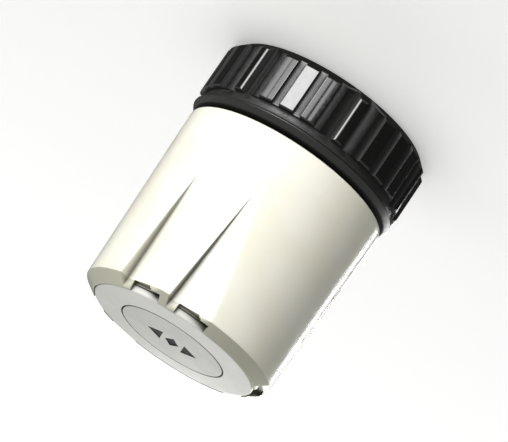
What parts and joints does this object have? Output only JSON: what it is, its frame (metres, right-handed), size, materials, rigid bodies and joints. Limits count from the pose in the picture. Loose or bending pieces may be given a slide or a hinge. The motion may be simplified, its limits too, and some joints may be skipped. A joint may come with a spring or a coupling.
{
  "type": "manual valve actuator head",
  "caption": "Hand-operated head for a heating manifold valve: ivory fluted handwheel with a domed end over a black ribbed union nut; turning the wheel drives a plunger.",
  "frame": {"origin": "centre of the union nut's open face, where the head stands and where the valve enters", "axes": "+Z along the spindle, from the union nut to the outer end of the handwheel; the plunger's two guide lugs lie along X"},
  "size_m": [0.036, 0.036, 0.0445],
  "materials": {
    "ivory_plastic": "moulded, satin",
    "cover_plastic": "moulded, satin",
    "badge_plastic": "printed inlay, satin",
    "carrier_nylon": "moulded, semi-matte",
    "nut_nylon": "moulded, glossy",
    "plunger_acetal": "moulded",
    "brass": "turned",
    "spindle_steel": "turned",
    "zinc_steel": "zinc plated",
    "spring_steel": "phosphated spring steel",
    "seal_rubber": "greased nitrile"
  },
  "bodies": {
    "base": {"carrier": "carrier_nylon", "thread_bush": "brass", "guide_o_ring": "seal_rubber", "slip_washer": "zinc_steel", "snap_ring": "spring_steel"},
    "nut": {"union_nut": "nut_nylon"},
    "plunger": {"plunger": "plunger_acetal", "thrust_pin": "spindle_steel"},
    "wheel": {"handwheel": "ivory_plastic", "end_cover": "cover_plastic", "end_badge": "badge_plastic", "hub_screw": "zinc_steel", "hub_washer": "spring_steel", "spindle": "spindle_steel", "spindle_clip": "spring_steel"}
  },
  "joints": [
    {"name": "nut_turn", "type": "hinge", "parent": "base", "child": "nut", "pos_m": [0, 0, 0.005], "axis": [0, 0, 1], "continuous": true},
    {"name": "lift", "type": "slide", "parent": "base", "child": "plunger", "axis": [0, 0, 1], "range_m": [0, 0.004]},
    {"name": "wheel_turn", "type": "hinge", "parent": "plunger", "child": "wheel", "pos_m": [0, 0, 0.03], "axis": [0, 0, 1], "range_deg": [0, 480]}
  ],
  "couplings": [
    {"joint": "lift", "follows": "wheel_turn", "m_per_rad": 0.00047746}
  ]
}
